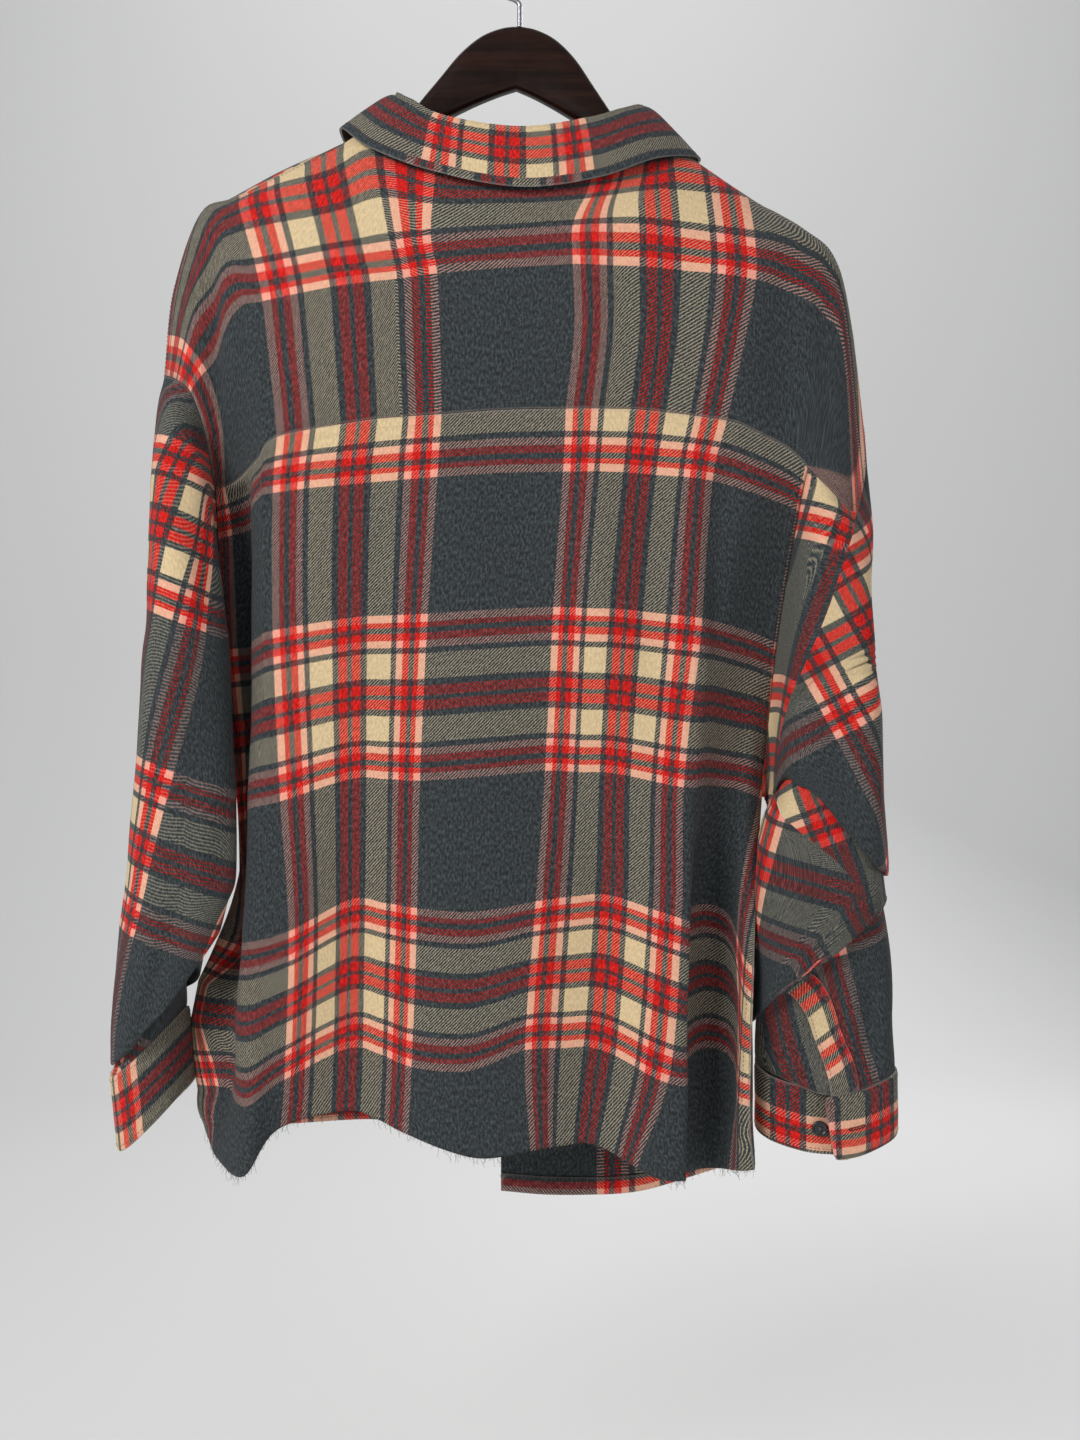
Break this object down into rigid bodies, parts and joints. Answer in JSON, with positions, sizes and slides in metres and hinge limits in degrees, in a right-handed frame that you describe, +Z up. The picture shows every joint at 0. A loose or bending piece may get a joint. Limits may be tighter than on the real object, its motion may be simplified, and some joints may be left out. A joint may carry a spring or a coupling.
{
  "type": "flannel shirt on a wooden hanger",
  "caption": "Long-sleeved plaid flannel shirt, buttoned, with a turned-down collar, a raw back hem and rolled-over sleeves, hanging on a contoured wooden hanger.",
  "frame": {"origin": "inner top of the hanger's hook, where the rail bears on it", "axes": "+Z up, -Y out of the shirt's front, +X towards the wearer's left"},
  "size_m": [0.593, 0.1323, 0.9448],
  "materials": {
    "flannel": "brushed twill, charcoal ground with red, pink and cream checks",
    "flannel_red": "brushed twill, folded hem",
    "wood": "dark stain, satin varnish",
    "steel": "plain wire",
    "button": "dark resin, satin"
  },
  "bodies": {
    "root": {"yoke": "flannel", "back": "flannel", "front_left": "flannel", "front_right": "flannel", "placket_left": "flannel", "placket_right": "flannel", "hem_left": "flannel_red", "hem_right": "flannel_red", "collar_stand": "flannel", "collar": "flannel", "sleeve_left": "flannel", "sleeve_right": "flannel", "sleeve_placket_left": "flannel", "sleeve_placket_right": "flannel", "cuff_left": "flannel", "cuff_right": "flannel", "button_front_1": "button", "button_front_2": "button", "button_front_3": "button", "button_front_4": "button", "button_front_5": "button", "button_front_6": "button", "button_front_7": "button", "button_cuff_left": "button", "button_cuff_right": "button", "hanger_wood": "wood", "hanger_hook": "steel"}
  },
  "joints": []
}
